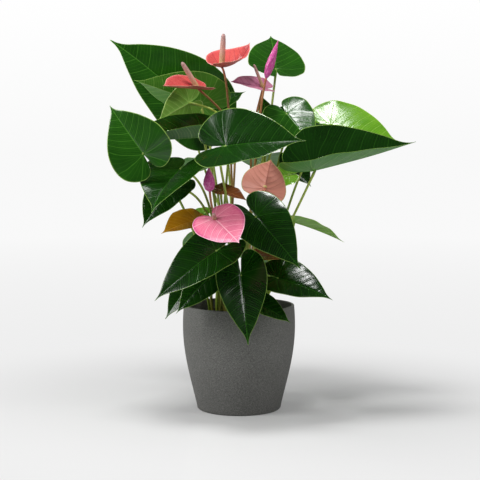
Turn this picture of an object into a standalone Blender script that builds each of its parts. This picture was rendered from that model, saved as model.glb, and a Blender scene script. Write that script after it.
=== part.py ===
"""Potted anthurium: a flowering plant in its nursery pot, standing in a round barrel-sided cover pot.

The origin is the middle of the cover pot's base, +Z is up and the plant's fuller side faces -Y.
Every leaf is one grown piece, its heart-shaped blade and its stalk. Every flower is a stalk, a
spathe (the coloured heart) and a spadix (the spike). Two flowers are still rolled buds.
"""

from typing import NamedTuple

import bmesh
import bpy
import numpy as np
from mathutils import Vector

# Driving dimensions, in metres.
POT_HEIGHT = 0.172
POT_RADIUS = 0.0925
POT_WALL = 0.0045
POT_FLOOR = 0.006
BASE_RADIUS = 0.0688
RIM_ABOVE_NURSERY = 0.022
NURSERY_HEIGHT = POT_HEIGHT - RIM_ABOVE_NURSERY
NURSERY_WALL = 0.0012
NURSERY_LIP = 0.004
LIP_DEPTH = 0.003
SOIL_DEPTH_BELOW_LIP = 0.009
PLANT_HEIGHT = 0.445
BLADE_THICKNESS = 0.0010
LEAF_STALK_RADIUS = 0.00175
FLOWER_STALK_RADIUS = 0.0016
GAP = 0.0003
SPADIX_CLEARANCE = 0.0012
POT_EDGE = 0.004
RIM_CORNER = 0.001
NURSERY_CLEARANCE = 0.002
STALK_START = 0.004
STALK_INTO_BLADE = 0.0008
SAME_POINT = 0.00002

# The cover pot's side: where it is widest, how full it swells and how far it draws in above that.
WIDEST_SHARE = 0.8
SWELL_POWER = 1.15
DRAW_IN = 0.3
# Where the middle of the base's rounded edge lies, as a share of that edge.
EDGE_MIDDLE = 0.3
# How strongly a stalk's end still points away from its foot as it meets the blade.
STALK_PULL = 0.35
# The least that a spadix stands up from its spathe, as the cosine of its lean.
STEEPEST_LEAN = 0.3

# The leaf and flower places below were chosen on a plant of this height, the feet of the stalks
# on a pot of this radius.
CHOSEN_POT_RADIUS = 0.0925
CHOSEN_PLANT_HEIGHT = 0.445

# How finely the shapes are divided.
POT_STEPS = 36
POT_ROWS = 12
BLADE_RINGS = 3
BLADE_SPANS = 6
STALK_POINTS = 7
SPADIX_STEPS = 10

# Half outlines of a blade one unit long, from the tip round to the notch where the stalk joins.
LEAF_OUTLINE = (
    (1.00, 0.000), (0.93, 0.018), (0.85, 0.060), (0.72, 0.165), (0.50, 0.310), (0.25, 0.420),
    (0.00, 0.450), (-0.20, 0.400), (-0.33, 0.270), (-0.36, 0.130), (-0.25, 0.035), (-0.02, 0.000),
)
SPATHE_OUTLINE = (
    (1.00, 0.000), (0.95, 0.030), (0.88, 0.120), (0.72, 0.330), (0.45, 0.510), (0.15, 0.560),
    (-0.12, 0.500), (-0.28, 0.340), (-0.32, 0.170), (-0.20, 0.050), (-0.02, 0.000),
)
CUP_REFERENCE = 0.45  # the half width over which a blade's cup angle is reached
FLATTEST_CUP = 1e-4  # in radians, so that a flat blade can be worked out as an arc too
MIDRIB_STEPS = np.linspace(-0.6, 1.2, 361)  # along a blade one unit long, from behind its notch

# A spadix and a rolled bud: (share of the radius, share of the length) from the tip down to the foot.
SPINDLES = {
    "spadix": (
        (0.0, 1.0), (0.45, 0.985), (0.75, 0.93), (0.90, 0.75),
        (1.0, 0.40), (0.95, 0.05), (0.7, 0.0), (0.0, 0.0),
    ),
    "bud_magenta": (
        (0.0, 1.0), (0.22, 0.92), (0.55, 0.75), (0.9, 0.5),
        (1.0, 0.3), (0.75, 0.10), (0.35, 0.0), (0.0, 0.0),
    ),
}

# Name: base colour, roughness, metallic.
MATERIALS = {
    "cover_pot": ((0.070, 0.070, 0.066), 0.75, 0.0),
    "nursery_pot": ((0.020, 0.020, 0.020), 0.60, 0.0),
    "soil": ((0.030, 0.020, 0.012), 0.95, 0.0),
    "leaf_dark": ((0.012, 0.050, 0.008), 0.28, 0.0),
    "leaf_young": ((0.120, 0.300, 0.030), 0.35, 0.0),
    "leaf_bronze": ((0.300, 0.120, 0.015), 0.35, 0.0),
    "spathe_salmon": ((0.700, 0.130, 0.130), 0.35, 0.0),
    "spathe_pink": ((0.820, 0.220, 0.360), 0.35, 0.0),
    "spathe_mauve": ((0.450, 0.130, 0.260), 0.40, 0.0),
    "spathe_aged": ((0.420, 0.160, 0.120), 0.50, 0.0),
    "bud_magenta": ((0.450, 0.030, 0.240), 0.35, 0.0),
    "spadix": ((0.450, 0.270, 0.230), 0.65, 0.0),
    "flower_stalk": ((0.180, 0.090, 0.030), 0.45, 0.0),
}


class Shoot(NamedTuple):
    name: str
    top: tuple  # where the stalk meets the blade, mm from the middle of the rim
    tip: tuple  # the blade's tip, likewise
    faces: tuple  # the way the upper side faces
    foot: tuple  # where the stalk leaves the soil, mm from the pot's axis
    width: float = 0.9  # a share of the outline's own width
    fold: tuple = (10, 10)  # degrees that each half is raised, left then right
    cup: tuple = (0, 0)  # degrees of curl out to each edge
    bend: float = 20  # degrees of droop from stalk to tip
    nod: float = 0  # degrees that the tip adds
    lobe: float = 0  # degrees that the lobes behind the stalk turn, up where negative
    rise: float = 0.4  # how far the stalk rises before it leans over, a share of its length
    lean: float = 0.8  # how soon the stalk leans over
    hook: float = 0.2  # how long the stalk's last bend is
    sweep: float = 0.3  # how far it arrives along the midrib
    colour: str = "leaf_dark"
    spadix: tuple = None  # a flower's spadix tip
    spadix_radius: float = 0.004


LEAVES = (
    Shoot("leaf_01", (-80, 139, 327), (-221, 109, 442), (0.3, -0.85, 0.4), (10, 35),
          width=0.95, fold=(8, 28), bend=18, rise=0.46, lean=0.5, hook=0.42, sweep=0.6),
    Shoot("leaf_02", (-64, 22, 329), (-168, -28, 364), (0.1, 0.8, 0.45), (-15, 10),
          width=1, fold=(8, 35), bend=10, rise=0.4, lean=0.5, hook=0.1, sweep=0.4,
          colour="leaf_young"),
    Shoot("leaf_03", (-53, 104, 319), (12, 144, 355), (-0.2, -0.6, 0.8), (-6, 31),
          width=0.9, fold=(15, 15), bend=10, rise=0.95, lean=0.3, hook=0.15, sweep=-0.7),
    Shoot("leaf_04", (-81, -10, 329), (-130, -50, 298), (-0.15, 0.85, 0.35), (-24, 2),
          width=1.05, fold=(8, 8), bend=10, rise=0.74, lean=0.9, hook=0.34, sweep=0.8,
          colour="leaf_young"),
    Shoot("leaf_05", (-57, -46, 274), (-192, -131, 259), (0, 0.05, 1), (-20, -10),
          width=0.75, fold=(20, 48), bend=5, rise=0.4, lean=0.9, hook=0.11, sweep=0.3),
    Shoot("leaf_06", (-144, -150, 247), (-196, -130, 320), (-0.35, -0.85, 0.4), (-43, -13),
          width=1.2, fold=(6, 16), bend=15, rise=0.61, lean=0.2, hook=0.45, sweep=-1.2),
    Shoot("leaf_07", (-91, -100, 224), (-128, -210, 163), (-0.3, -0.75, 0.65), (-28, -20),
          width=0.98, fold=(12, 10), bend=20, rise=0.98, lean=0.1, hook=0.06, sweep=0.9),
    Shoot("leaf_08", (-104, -90, 192), (-147, -140, 135), (-0.3, -0.75, 0.5), (-13, -20),
          width=0.95, fold=(10, 10), bend=20, rise=1, lean=0.4, hook=0.1, sweep=1.5),
    Shoot("leaf_09", (-68, -60, 141), (-121, -100, 123), (-0.1, -0.5, 0.8), (-45, 7),
          width=1.15, fold=(10, 10), bend=20, rise=0.24, lean=0.3, hook=0.25, sweep=2,
          colour="leaf_bronze"),
    Shoot("leaf_10", (-59, -12, 151), (-94, 8, 145), (-0.1, -0.3, 0.9), (-30, 10),
          width=1, fold=(10, 10), bend=20, rise=0.4, lean=1.5, hook=0.14, sweep=0.4,
          colour="leaf_young"),
    Shoot("leaf_11", (-19, -168, 259), (98, -198, 266), (-0.05, -0.75, 0.62), (-3, -18),
          width=1.08, fold=(20, 20), bend=12, rise=0.79, lean=1, hook=0.15, sweep=1.7),
    Shoot("leaf_12", (118, -100, 222), (274, -100, 265), (0, 0.05, 1), (30, -10),
          width=0.95, fold=(76, 9), cup=(6, 8), bend=-4, lobe=-90, rise=0.4, lean=1.4, hook=0.39, sweep=0.8),
    Shoot("leaf_13", (152, 20, 293), (263, 0, 266), (0.1, -0.75, 0.65), (36, 9),
          width=1, fold=(8, 8), bend=20, rise=0.4, lean=1.2, hook=0.2, sweep=1.3,
          colour="leaf_young"),
    Shoot("leaf_14", (96, 58, 304), (157, 108, 291), (0, -0.6, 0.8), (30, 31),
          width=1, fold=(8, 8), bend=15, rise=0.4, lean=1.5, hook=0.18, sweep=0.7),
    Shoot("leaf_15", (78, 0, 312), (120, -40, 253), (0.1, -0.8, 0.5), (15, 10),
          width=1.1, fold=(8, 8), bend=15, rise=0.72, lean=0.9, hook=0.35, sweep=0.5,
          colour="leaf_young"),
    Shoot("leaf_16", (62, 55, 389), (55, 145, 452), (0.15, -0.8, 0.5), (12, 27),
          width=0.98, fold=(10, 10), bend=12, lobe=-90, rise=0.2, lean=1.6, hook=0.15, sweep=0.9),
    Shoot("leaf_17", (48, 40, 307), (37, 60, 346), (0, -0.9, 0.3), (0, 30),
          width=0.7, fold=(10, 10), bend=5, rise=0.46, lean=0.4, hook=0.12, sweep=1.3),
    Shoot("leaf_18", (26, -138, 151), (92, -188, 76), (-0.1, -0.75, 0.65), (10, -25),
          width=0.9, fold=(10, 10), bend=15, rise=0.4, lean=0.8, hook=0.36, sweep=0.7),
    Shoot("leaf_19", (90, -13, 136), (175, 27, 100), (0.1, 0.05, 1), (35, 0),
          width=0.8, fold=(15, 15), bend=10, rise=0.36, lean=1.6, hook=0.11, sweep=-0.1,
          colour="leaf_young"),
    Shoot("leaf_20", (61, -103, 54), (143, -143, 24), (0.15, -0.75, 0.7), (30, -25),
          width=0.9, fold=(12, 12), bend=20, rise=0.3, lean=1, hook=0.13, sweep=0.4),
    Shoot("leaf_21", (3, -120, 61), (14, -155, -42), (-0.05, -0.9, 0.3), (12, -46),
          width=0.83, fold=(12, 22), bend=15, rise=0.57, lean=1.7, hook=0.13, sweep=-0.3),
    Shoot("leaf_22", (-35, -135, 99), (-128, -150, 24), (-0.25, -0.75, 0.6), (-37, -20),
          width=0.8, fold=(12, 12), bend=20, rise=0.93, lean=0.5, hook=0.25, sweep=1.6),
    Shoot("leaf_23", (-67, -90, 56), (-115, -110, -9), (-0.4, -0.8, 0.3), (-45, -20),
          width=0.75, fold=(10, 10), bend=15, rise=0.5, lean=1.4, hook=0.22, sweep=0.5),
    Shoot("leaf_24", (-39, -107, 64), (-97, -127, 1), (-0.3, -0.85, 0.3), (-35, -30),
          width=0.8, fold=(10, 10), bend=15, rise=0.79, lean=1.2, hook=0.19, sweep=1.4),
    Shoot("leaf_25", (28, -100, 15), (80, -120, -15), (0.15, -0.6, 0.75), (20, -45),
          width=0.85, fold=(12, 12), bend=20, rise=0.71, lean=0.8, hook=0.21, sweep=1.1),
    Shoot("leaf_26", (30, -80, 88), (75, -120, 84), (0, -0.5, 0.8), (20, -35),
          width=1.1, fold=(10, 10), bend=20, rise=0.41, lean=1.5, hook=0.28, sweep=0.4,
          colour="leaf_bronze"),
    Shoot("leaf_27", (-29, -60, 190), (14, -100, 174), (0, -0.4, 0.9), (0, 0),
          width=0.7, fold=(10, 10), bend=10, rise=0.41, lean=1.2, hook=0.17, sweep=0.2,
          colour="leaf_bronze"),
    Shoot("leaf_28", (81, -20, 213), (38, 0, 204), (0, -0.8, 0.5), (23, 21),
          width=1, fold=(8, 8), bend=10, rise=0.42, lean=1.8, hook=0.39, sweep=-1.2,
          colour="leaf_young"),
    Shoot("leaf_29", (89, 50, 237), (121, 50, 192), (0.1, -0.8, 0.4), (47, 16),
          width=1, fold=(8, 8), bend=10, rise=0.42, lean=0.3, hook=0.22, sweep=0.9),
    Shoot("leaf_30", (-50, 100, 228), (-120, 170, 198), (-0.2, 0.4, 0.9), (-30, 35),
          width=0.9, fold=(10, 10), bend=25, rise=0.73, lean=1.8, hook=0.06, sweep=1.3),
    Shoot("leaf_31", (30, 110, 238), (60, 230, 198), (0.1, 0.4, 0.9), (10, 40),
          width=0.9, fold=(10, 10), bend=25, rise=0.4, lean=1.3, hook=0.2, sweep=1.1),
    Shoot("leaf_32", (40, 90, 98), (90, 170, 48), (0.4, 0.4, 0.8), (41, 23),
          width=0.9, fold=(10, 10), bend=25, rise=0.94, lean=1.6, hook=0.28, sweep=1.9),
    Shoot("leaf_33", (-50, 120, 98), (-80, 210, 28), (-0.2, 0.5, 0.8), (-20, 45),
          width=0.85, fold=(10, 10), bend=25, rise=0.4, lean=1.3, hook=0.15, sweep=0.2),
    Shoot("leaf_34", (30, 110, 68), (60, 200, 8), (0.2, 0.5, 0.8), (20, 45),
          width=0.85, fold=(10, 10), bend=25, rise=0.66, lean=1.5, hook=0.09, sweep=-0.1),
)

FLOWERS = (
    Shoot("flower_1", (-28, 0, 388), (18, 15, 428), (-0.45, -0.24, 0.85), (-5, 11),
          width=1.35, fold=(30, 10), bend=-72, lobe=-25, rise=0.69, lean=1.3, hook=0.06, sweep=-0.8,
          colour="spathe_salmon", spadix=(-25, -5, 441), spadix_radius=0.0045),
    Shoot("flower_2", (-65, -50, 350), (-118, -90, 352), (-0.05, -0.5, 0.85), (-15, -15),
          width=0.95, fold=(25, 15), bend=0, rise=0.8, lean=0.1, hook=0.41, sweep=2.3,
          colour="spathe_salmon", spadix=(-90, -60, 391), spadix_radius=0.004),
    Shoot("flower_4", (39, -5, 354), (-13, -20, 364), (0, -0.5, 0.85), (15, 20),
          width=0.8, fold=(15, 15), bend=0, rise=0.85, lean=1.3, hook=0.34, sweep=0,
          colour="spathe_mauve", spadix=(24, -15, 391), spadix_radius=0.0025),
    Shoot("flower_6", (40, -105, 194), (50, -85, 238), (-0, 0.95, 0.2), (14, -10),
          width=1.35, fold=(22, 12), bend=25, rise=0.75, lean=0.5, hook=0.18, sweep=2.1,
          colour="spathe_aged", spadix=(41, -66, 215), spadix_radius=0.0033),
    Shoot("flower_7", (-36, -180, 151), (0, -230, 119), (-0.05, -0.8, 0.6), (2, -31),
          width=0.97, fold=(5, 5), bend=10, rise=0.99, lean=0.2, hook=0.06, sweep=1.3,
          colour="spathe_pink", spadix=(-38, -190, 159), spadix_radius=0.003),
)

BUDS = (
    Shoot("flower_3", (43, -50, 367), (62, -50, 426), (0, 0, 1), (10, 1),
          width=0.0075, rise=0.42, lean=1.3, hook=0.14, colour="bud_magenta"),
    Shoot("flower_5", (-45, -115, 190), (-46, -125, 226), (0, 0, 1), (-8, -21),
          width=0.01, rise=0.82, lean=1.5, hook=0.27, colour="bud_magenta"),
)


def unit(vector):
    vector = np.asarray(vector, float)
    return vector / np.linalg.norm(vector)


def spot(place):
    """A chosen place, in mm from the middle of the rim, carried to the present pot and plant."""
    stretch = PLANT_HEIGHT / CHOSEN_PLANT_HEIGHT
    return np.array(place) / 1000 * stretch + (0.0, 0.0, POT_HEIGHT)


def material(name):
    """The named Principled material, made the first time it is asked for."""
    if name in bpy.data.materials:
        return bpy.data.materials[name]
    colour, roughness, metallic = MATERIALS[name]
    made = bpy.data.materials.new(name)
    made.use_nodes = True
    shader = made.node_tree.nodes["Principled BSDF"]
    shader.inputs["Base Color"].default_value = (*colour, 1.0)
    shader.inputs["Roughness"].default_value = roughness
    shader.inputs["Metallic"].default_value = metallic
    return made


def add_object(name, mesh, collection, material_name):
    mesh.materials.clear()
    mesh.materials.append(material(material_name))
    mesh.shade_smooth()
    made = bpy.data.objects.new(name, mesh)
    collection.objects.link(made)
    return made


def turned(name, profile, steps, collection, material_name):
    """A profile of (radius, height) points, from its highest inner point round, turned about Z."""
    mesh = bpy.data.meshes.new(name)
    points = [(radius, 0.0, height) for radius, height in profile]
    mesh.from_pydata(points, [(i, i + 1) for i in range(len(points) - 1)], [])
    made = add_object(name, mesh, collection, material_name)
    screw = made.modifiers.new("turn", "SCREW")
    screw.steps = steps
    screw.render_steps = steps
    screw.use_merge_vertices = True
    screw.merge_threshold = SAME_POINT
    return made


def pot_outer_radius(height):
    """The barrel side: the base radius swelling to the widest point, then drawn in to the rim."""
    share = max(height / (WIDEST_SHARE * POT_HEIGHT), 0.0)
    swell = np.sin(np.pi / 2 * min(share, 1.0)) ** SWELL_POWER
    over = max(share - 1.0, 0.0)
    return BASE_RADIUS + (POT_RADIUS - BASE_RADIUS) * swell - DRAW_IN * POT_RADIUS * over * over


def cover_pot(collection):
    """The outer pot: a flat base with a small rounded edge, barrel sides and a flat rim."""
    heights = np.linspace(POT_HEIGHT - RIM_CORNER, POT_EDGE, POT_ROWS)
    outside = [(pot_outer_radius(z), z) for z in heights]
    inside = [(pot_outer_radius(z) - POT_WALL, z) for z in reversed(heights[1:-1])]
    rim = pot_outer_radius(POT_HEIGHT)
    foot = pot_outer_radius(0.0)
    profile = [
        (0.0, POT_FLOOR),
        (pot_outer_radius(POT_FLOOR) - 2 * POT_WALL, POT_FLOOR),
        *inside,
        (rim - POT_WALL, POT_HEIGHT - RIM_CORNER),
        (rim - POT_WALL + RIM_CORNER, POT_HEIGHT),
        (rim - RIM_CORNER, POT_HEIGHT),
        *outside,
        (foot - EDGE_MIDDLE * POT_EDGE, EDGE_MIDDLE * POT_EDGE),
        (foot - POT_EDGE, 0.0),
        (0.0, 0.0),
    ]
    return turned("cover_pot", profile, POT_STEPS, collection, "cover_pot")


def nursery_radius(height):
    """The nursery pot's outside, a cone that clears the cover pot's wall all the way down."""
    foot = pot_outer_radius(POT_FLOOR) - 2 * POT_WALL - NURSERY_CLEARANCE
    top = pot_outer_radius(POT_FLOOR + NURSERY_HEIGHT) - POT_WALL - NURSERY_LIP - NURSERY_CLEARANCE
    return foot + (top - foot) * (height - POT_FLOOR) / NURSERY_HEIGHT


def nursery_pot(collection):
    """The thin grow pot inside, standing on the cover pot's floor, with a turned-out lip."""
    low = POT_FLOOR + GAP
    high = low + NURSERY_HEIGHT
    wall = NURSERY_WALL
    lip = nursery_radius(high) + NURSERY_LIP - wall
    profile = [
        (0.0, low + wall),
        (nursery_radius(low) - wall, low + wall),
        (nursery_radius(high) - wall, high),
        (lip, high),
        (lip, high - LIP_DEPTH),
        (lip - wall, high - LIP_DEPTH),
        (lip - wall, high - wall),
        (nursery_radius(high), high - wall),
        (nursery_radius(low), low),
        (0.0, low),
    ]
    return turned("nursery_pot", profile, POT_STEPS, collection, "nursery_pot")


def soil_top():
    return POT_FLOOR + GAP + NURSERY_HEIGHT - SOIL_DEPTH_BELOW_LIP


def potting_soil(collection):
    """The root ball: a plug that fills the nursery pot, level on top."""
    low = POT_FLOOR + 2 * GAP + NURSERY_WALL
    high = soil_top()
    fit = NURSERY_WALL + 2 * GAP
    profile = [
        (0.0, high),
        (nursery_radius(high) - fit, high),
        (nursery_radius(low) - fit, low),
        (0.0, low),
    ]
    return turned("potting_soil", profile, POT_STEPS, collection, "soil")


def half_outline(points, count):
    """Points spaced evenly along a smooth curve through the outline's own points."""
    known = np.array(points, float)
    before = (known[1][0], -known[1][1])
    after = (known[-2][0], -known[-2][1])
    known = np.vstack([before, known, after])
    along = np.linspace(0, len(points) - 1, count)
    span = np.minimum(along.astype(int), len(points) - 2)
    t = (along - span)[:, None]
    a, b, c, d = (known[span + k] for k in range(4))
    squares = (2 * a - 5 * b + 4 * c - d) * t**2
    cubes = (3 * b - a - 3 * c + d) * t**3
    curve = 0.5 * (2 * b + (c - a) * t + squares + cubes)
    curve[:, 1] = np.maximum(curve[:, 1], 0.0)
    return curve


def bent(x, y, plan):
    """Flat blade points taken to their bent shape: folded and cupped across, drooped along."""
    left = y >= 0
    across = np.abs(y) * plan.width
    fold = np.radians(np.where(left, plan.fold[0], plan.fold[1]))
    cup = np.radians(np.where(left, plan.cup[0], plan.cup[1])) / CUP_REFERENCE
    cup = np.where(np.abs(cup) < FLATTEST_CUP, FLATTEST_CUP, cup)
    side = (np.sin(fold + cup * across) - np.sin(fold)) / cup * np.where(left, 1, -1)
    rise = (np.cos(fold) - np.cos(fold + cup * across)) / cup
    steps = MIDRIB_STEPS
    ahead, behind = np.maximum(steps, 0), np.minimum(steps, 0)
    slope = np.radians(plan.bend * ahead + plan.nod * ahead**4 + plan.lobe * behind)
    run = np.cumsum(np.cos(slope)) * (steps[1] - steps[0])
    fall = np.cumsum(-np.sin(slope)) * (steps[1] - steps[0])
    here_run = np.interp(x, steps, run) - np.interp(0, steps, run)
    here_fall = np.interp(x, steps, fall) - np.interp(0, steps, fall)
    here_slope = np.interp(x, steps, slope)
    ahead_of_stalk = here_run + rise * np.sin(here_slope)
    above = here_fall + rise * np.cos(here_slope)
    return np.stack([ahead_of_stalk, side, above], -1)


def blade_axes(plan):
    """The matrix that turns and sizes a bent blade so that it runs from its stalk's top to its tip."""
    top, tip = spot(plan.top), spot(plan.tip)
    reach = bent(np.array([1.0]), np.array([0.0]), plan)[0]
    chord = unit(reach)
    normal = unit(np.cross(chord, (0.0, 1.0, 0.0)))
    local = np.stack([chord, np.cross(normal, chord), normal])
    ahead = unit(tip - top)
    faces = np.asarray(plan.faces, float)
    upper = unit(faces - faces.dot(ahead) * ahead)
    placed = np.stack([ahead, np.cross(upper, ahead), upper])
    return local.T @ placed * np.linalg.norm(tip - top) / np.linalg.norm(reach)


def blade(name, plan, outline, collection, material_name):
    """A blade: a grid bent into a heart round its stalk's top, then given its thickness."""
    half = half_outline(outline, BLADE_SPANS + 1)
    edge = np.vstack([half[::-1] * (1, -1), half[1:]])
    shape = bmesh.new()
    bmesh.ops.create_grid(shape, x_segments=BLADE_RINGS, y_segments=len(edge) - 1, size=0.5)
    columns = np.array([vertex.co[:2] for vertex in shape.verts]) + 0.5
    ring = columns[:, :1]
    flat = ring * edge[np.rint(columns[:, 1] * (len(edge) - 1)).astype(int)]
    solid = bent(flat[:, 0], flat[:, 1], plan) @ blade_axes(plan) + spot(plan.top)
    for vertex, place in zip(shape.verts, solid):
        vertex.co = place
    bmesh.ops.remove_doubles(shape, verts=shape.verts, dist=SAME_POINT)
    mesh = bpy.data.meshes.new(name)
    shape.to_mesh(mesh)
    shape.free()
    made = add_object(name, mesh, collection, material_name)
    thicken = made.modifiers.new("thickness", "SOLIDIFY")
    thicken.thickness = BLADE_THICKNESS
    thicken.offset = 0.0
    return made


def stalk_end(plan):
    """The way the stalk runs as it meets the blade, from below and a little along the midrib."""
    axes = blade_axes(plan)
    normal, ahead = unit(axes[2]), unit(axes[0])
    foot = np.array((*foot_place(plan), soil_top()))
    return unit(normal + ahead * plan.sweep + STALK_PULL * unit(spot(plan.top) - foot))


def foot_place(plan):
    """Where the stalk leaves the soil; the soil's radius carries it, so it stays inside the pot."""
    spread = POT_RADIUS / CHOSEN_POT_RADIUS
    return np.array(plan.foot) / 1000 * spread


def stalk(name, plan, end, stop, radius, collection, material_name):
    """A stalk from the soil to a point short of the top by stop (or past it, where stop is negative)."""
    foot = np.array((*foot_place(plan), soil_top() + GAP))
    top = spot(plan.top) - end * stop
    start = foot + (0.0, 0.0, STALK_START)
    length = np.linalg.norm(top - start)
    lift = unit(np.array((0.0, 0.0, 1.0)) + (top - start) / length * plan.lean)
    a, b, c, d = start, start + lift * length * plan.rise, top - end * length * plan.hook, top
    t = np.linspace(0, 1, STALK_POINTS)[:, None]
    u = 1 - t
    path = u**3 * a + 3 * u**2 * t * b + 3 * u * t**2 * c + t**3 * d
    path = np.vstack([foot, path])
    curve = bpy.data.curves.new(name, "CURVE")
    curve.dimensions = "3D"
    curve.bevel_depth = radius
    curve.bevel_resolution = 1
    curve.use_fill_caps = True
    spline = curve.splines.new("POLY")
    spline.points.add(len(path) - 1)
    for point, place in zip(spline.points, path):
        point.co = (*place, 1.0)
    drawn = bpy.data.objects.new(name + "_curve", curve)
    bpy.context.scene.collection.objects.link(drawn)
    bpy.context.view_layer.update()
    graph = bpy.context.evaluated_depsgraph_get()
    mesh = bpy.data.meshes.new_from_object(drawn.evaluated_get(graph))
    placed = drawn.matrix_world.copy()
    bpy.data.objects.remove(drawn)
    bpy.data.curves.remove(curve)
    shape = bmesh.new()
    shape.from_mesh(mesh)
    bmesh.ops.remove_doubles(shape, verts=shape.verts, dist=SAME_POINT)
    bmesh.ops.recalc_face_normals(shape, faces=shape.faces)
    shape.to_mesh(mesh)
    shape.free()
    made = add_object(name, mesh, collection, material_name)
    made.matrix_world = placed
    return made


def leaf(plan, collection, cutters):
    """One leaf: its blade with the stalk grown into it."""
    made = blade(plan.name, plan, LEAF_OUTLINE, collection, plan.colour)
    end = stalk_end(plan)
    stop = -STALK_INTO_BLADE
    tube = stalk(plan.name + "_stalk", plan, end, stop, LEAF_STALK_RADIUS, cutters, plan.colour)
    tube.hide_render = True
    tube.display_type = "WIRE"
    join = made.modifiers.new("stalk", "BOOLEAN")
    join.operation = "UNION"
    join.object = tube
    return made


def spike(name, base, tip, radius, collection, material_name):
    """A spadix or a rolled bud: a turned spindle from base to tip, as profile shares of its radius."""
    length = np.linalg.norm(tip - base)
    shares = SPINDLES[material_name]
    profile = [(radius * wide, length * high) for wide, high in shares]
    made = turned(name, profile, SPADIX_STEPS, collection, material_name)
    made.location = Vector(base)
    made.rotation_mode = "QUATERNION"
    made.rotation_quaternion = Vector(tip - base).to_track_quat("Z", "Y")
    return made


def flower(plan, collection):
    """An open flower: a stalk, the spathe on it and the spadix that stands on the spathe."""
    spathe = blade(plan.name + "_spathe", plan, SPATHE_OUTLINE, collection, plan.colour)
    end = stalk_end(plan)
    upper = unit(blade_axes(plan)[2])
    slant = end.dot(upper)
    stop = (BLADE_THICKNESS + GAP + FLOWER_STALK_RADIUS * np.sqrt(1 - slant**2)) / slant
    stalk(plan.name + "_stalk", plan, end, stop, FLOWER_STALK_RADIUS, collection, "flower_stalk")
    if plan.spadix is not None:
        root, tip = spot(plan.top), spot(plan.spadix)
        lift = unit(tip - root)
        # A spadix that leans over starts further up, so that its foot's edge still clears the spathe.
        foot_radius = plan.spadix_radius * SPINDLES["spadix"][-2][0]
        rise = (BLADE_THICKNESS + SPADIX_CLEARANCE + foot_radius) / max(lift.dot(upper), STEEPEST_LEAN)
        spike(plan.name + "_spadix", root + lift * rise, tip, plan.spadix_radius, collection, "spadix")
    return spathe


def bud(plan, collection):
    """A bud: a stalk and the spathe still rolled into a spindle."""
    root, tip = spot(plan.top), spot(plan.tip)
    ahead = unit(tip - root)
    foot = np.array((*foot_place(plan), soil_top()))
    end = unit(ahead + STALK_PULL * unit(root - foot))
    slant = end.dot(ahead)
    stop = (3 * GAP + FLOWER_STALK_RADIUS * np.sqrt(1 - slant**2)) / slant
    stalk(plan.name + "_stalk", plan, end, stop, FLOWER_STALK_RADIUS, collection, "flower_stalk")
    return spike(plan.name + "_bud", root, tip, plan.width, collection, plan.colour)


def main():
    for old in list(bpy.data.objects):
        bpy.data.objects.remove(old)
    plant = bpy.data.collections.new("potted_anthurium")
    cutters = bpy.data.collections.new("cutters")
    bpy.context.scene.collection.children.link(plant)
    bpy.context.scene.collection.children.link(cutters)
    cover_pot(plant)
    nursery_pot(plant)
    potting_soil(plant)
    for plan in LEAVES:
        leaf(plan, plant, cutters)
    for plan in FLOWERS:
        flower(plan, plant)
    for plan in BUDS:
        bud(plan, plant)


main()
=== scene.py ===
import bpy
import numpy as np
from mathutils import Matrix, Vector


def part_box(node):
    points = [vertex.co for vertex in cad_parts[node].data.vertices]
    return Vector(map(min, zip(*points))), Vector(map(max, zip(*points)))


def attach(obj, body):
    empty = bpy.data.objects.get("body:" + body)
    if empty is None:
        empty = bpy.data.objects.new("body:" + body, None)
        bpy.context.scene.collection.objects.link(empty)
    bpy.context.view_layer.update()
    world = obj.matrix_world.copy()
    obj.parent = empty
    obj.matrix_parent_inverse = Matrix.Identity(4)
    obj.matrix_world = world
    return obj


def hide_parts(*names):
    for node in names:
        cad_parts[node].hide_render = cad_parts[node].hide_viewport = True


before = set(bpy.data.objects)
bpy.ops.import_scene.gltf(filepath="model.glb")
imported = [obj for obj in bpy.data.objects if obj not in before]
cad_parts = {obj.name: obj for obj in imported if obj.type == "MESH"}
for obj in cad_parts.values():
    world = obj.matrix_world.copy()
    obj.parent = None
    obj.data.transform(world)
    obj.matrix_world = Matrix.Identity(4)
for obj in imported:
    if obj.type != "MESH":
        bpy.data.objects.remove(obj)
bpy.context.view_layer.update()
print("frame loaded:", len(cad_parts), "nodes")

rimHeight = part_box("cover_pot")[1].z
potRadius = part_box("cover_pot")[1].x
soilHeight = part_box("potting_soil")[1].z
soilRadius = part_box("potting_soil")[1].x


def linear(code):
    # sRGB hex to linear: c / 12.92 below 0.04045, else ((c + 0.055) / 1.055) ^ 2.4
    channels = np.array([int(code[i:i + 2], 16) for i in (1, 3, 5)]) / 255
    low = channels / 12.92
    high = ((channels + 0.055) / 1.055) ** 2.4
    return (*np.where(channels < 0.04045, low, high).tolist(), 1.0)


def unit(vector):
    # a vector over its own length, along the last axis
    vector = np.asarray(vector, float)
    return vector / np.linalg.norm(vector, axis=-1, keepdims=True)


def spot(place):
    # a place in mm from the middle of the pot's rim, in metres
    return np.array(place, float) / 1000 + (0, 0, rimHeight)


def footOf(plan, above=0.0):
    # where a stalk leaves the soil: its mm from the pot's axis, in metres
    return np.array((*np.array(plan["foot"]) / 1000, soilHeight + above))


def distances(path):
    # how far along the path each of its points is
    return np.concatenate([[0], np.cumsum(np.linalg.norm(np.diff(path, axis=0), axis=1))])


def ringQuads(rows, around):
    # the faces between ring i and ring i + 1, numbered from 1 because point 0 closes the first ring
    i, j = np.meshgrid(np.arange(rows - 1), np.arange(around), indexing="ij")
    nextJ = (j + 1) % around
    here, ahead = 1 + i * around, 1 + (i + 1) * around
    return np.stack([here + j, here + nextJ, ahead + nextJ, ahead + j], -1).reshape(-1, 4)


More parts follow.
